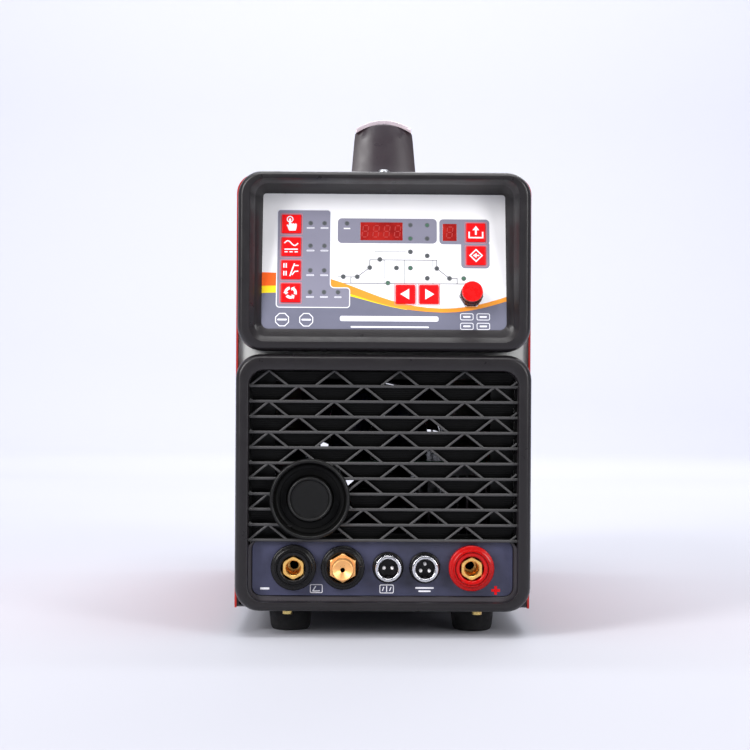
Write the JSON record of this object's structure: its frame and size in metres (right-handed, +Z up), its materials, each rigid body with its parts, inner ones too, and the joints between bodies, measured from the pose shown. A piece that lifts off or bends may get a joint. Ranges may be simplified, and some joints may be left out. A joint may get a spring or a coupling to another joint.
{
  "type": "tig welding machine",
  "caption": "Portable inverter TIG welding machine in a red sheet case with black front mouldings, sloped control panel, vent grille, socket row and carrying handle.",
  "frame": {"origin": "on the floor, under the middle of the machine", "axes": "+X to the right seen from the front, +Y towards the rear, +Z up; the front faces -Y"},
  "size_m": [0.1864, 0.444, 0.325],
  "materials": {
    "red_paint": "textured powder coat, satin",
    "grey_paint": "satin",
    "pale_paint": "satin powder coat",
    "black_moulding": "fine moulded grain",
    "blue_grey_plate": "satin print",
    "panel_print": "satin printed film on metal",
    "red_window": "smooth",
    "lamp": "smooth",
    "red_key": "satin",
    "red_gloss": "smooth",
    "black_gloss": "smooth",
    "steel": "zinc plated",
    "zinc_yellow": "yellow zinc plated",
    "bright_metal": "bright",
    "brass_metal": "turned",
    "silver_strip": "silver metallic",
    "black_rubber": "matte",
    "circuit_board": "solder mask",
    "capacitor_sleeve": "shrink sleeve",
    "aluminium_fins": "extruded",
    "ferrite": "sintered",
    "copper": "drawn"
  },
  "bodies": {
    "housing": {"case_cover": "red_paint", "base_pan": "grey_paint", "front_plate": "pale_paint", "rear_plate": "pale_paint", "rear_frame": "black_moulding", "upper_bezel": "black_moulding", "lower_bezel": "black_moulding", "vent_grille": "black_moulding", "connector_plate": "blue_grey_plate", "control_panel": "panel_print", "display_windows": "red_window", "indicator_lamps": "lamp", "encoder_body": "steel", "encoder_nut": "bright_metal", "control_board": "circuit_board", "board_components": "black_gloss", "negative_socket_shell": "black_gloss", "negative_socket_contact": "brass_metal", "positive_socket_shell": "red_gloss", "positive_socket_contact": "brass_metal", "torch_connector_shell": "black_gloss", "torch_connector_nozzle": "brass_metal", "remote_socket_sleeves": "bright_metal", "remote_socket_inserts": "black_gloss", "remote_socket_pins": "bright_metal", "remote_socket_rings": "black_gloss", "handle_body": "black_moulding", "handle_cap": "silver_strip", "case_screws": "bright_metal", "feet": "black_rubber", "foot_screws": "zinc_yellow", "fan_frame": "black_gloss", "fan_guard": "bright_metal", "power_switch_housing": "black_gloss", "gas_inlet": "brass_metal", "solenoid_valve": "black_gloss", "gas_hose": "black_rubber", "cable_gland": "black_moulding", "earth_stud": "brass_metal", "main_board": "circuit_board", "capacitors": "capacitor_sleeve", "heat_sinks": "aluminium_fins", "power_modules": "black_gloss", "main_transformer": "ferrite", "output_choke": "copper", "bus_bars": "copper"},
    "key_remote": {"key_remote": "red_key"},
    "key_current_type": {"key_current_type": "red_key"},
    "key_trigger_mode": {"key_trigger_mode": "red_key"},
    "key_process": {"key_process": "red_key"},
    "key_recall": {"key_recall": "red_key"},
    "key_save": {"key_save": "red_key"},
    "key_left": {"key_left": "red_key"},
    "key_right": {"key_right": "red_key"},
    "knob": {"knob_skirt": "black_gloss", "knob_cap": "red_gloss", "encoder_shaft": "steel"},
    "fan": {"fan_rotor": "black_gloss"},
    "rocker": {"power_switch_rocker": "red_gloss"},
    "plunger": {"solenoid_plunger": "steel"}
  },
  "joints": [
    {"name": "key_remote_press", "type": "slide", "parent": "housing", "child": "key_remote", "axis": [0, 0.9759, -0.2181], "range_m": [0, 0.0006], "stiffness_N_per_m": 1000},
    {"name": "key_current_type_press", "type": "slide", "parent": "housing", "child": "key_current_type", "axis": [0, 0.9759, -0.2181], "range_m": [0, 0.0006], "stiffness_N_per_m": 1000},
    {"name": "key_trigger_mode_press", "type": "slide", "parent": "housing", "child": "key_trigger_mode", "axis": [0, 0.9759, -0.2181], "range_m": [0, 0.0006], "stiffness_N_per_m": 1000},
    {"name": "key_process_press", "type": "slide", "parent": "housing", "child": "key_process", "axis": [0, 0.9759, -0.2181], "range_m": [0, 0.0006], "stiffness_N_per_m": 1000},
    {"name": "key_recall_press", "type": "slide", "parent": "housing", "child": "key_recall", "axis": [0, 0.9759, -0.2181], "range_m": [0, 0.0006], "stiffness_N_per_m": 1000},
    {"name": "key_save_press", "type": "slide", "parent": "housing", "child": "key_save", "axis": [0, 0.9759, -0.2181], "range_m": [0, 0.0006], "stiffness_N_per_m": 1000},
    {"name": "key_left_press", "type": "slide", "parent": "housing", "child": "key_left", "axis": [0, 0.9759, -0.2181], "range_m": [0, 0.0006], "stiffness_N_per_m": 1000},
    {"name": "key_right_press", "type": "slide", "parent": "housing", "child": "key_right", "axis": [0, 0.9759, -0.2181], "range_m": [0, 0.0006], "stiffness_N_per_m": 1000},
    {"name": "knob_turn", "type": "hinge", "parent": "housing", "child": "knob", "pos_m": [0.0535, -0.20141, 0.20889], "axis": [0, -0.9759, 0.2181], "continuous": true},
    {"name": "fan_spin", "type": "hinge", "parent": "housing", "child": "fan", "pos_m": [0, 0.16, 0.1], "axis": [0, 1, 0], "continuous": true},
    {"name": "rocker_tip", "type": "hinge", "parent": "housing", "child": "rocker", "pos_m": [0.05, 0.1835, 0.235], "axis": [1, 0, 0], "range_deg": [-16, 0]},
    {"name": "plunger_lift", "type": "slide", "parent": "housing", "child": "plunger", "axis": [0, 0, 1], "range_m": [0, 0.003], "stiffness_N_per_m": 400}
  ]
}
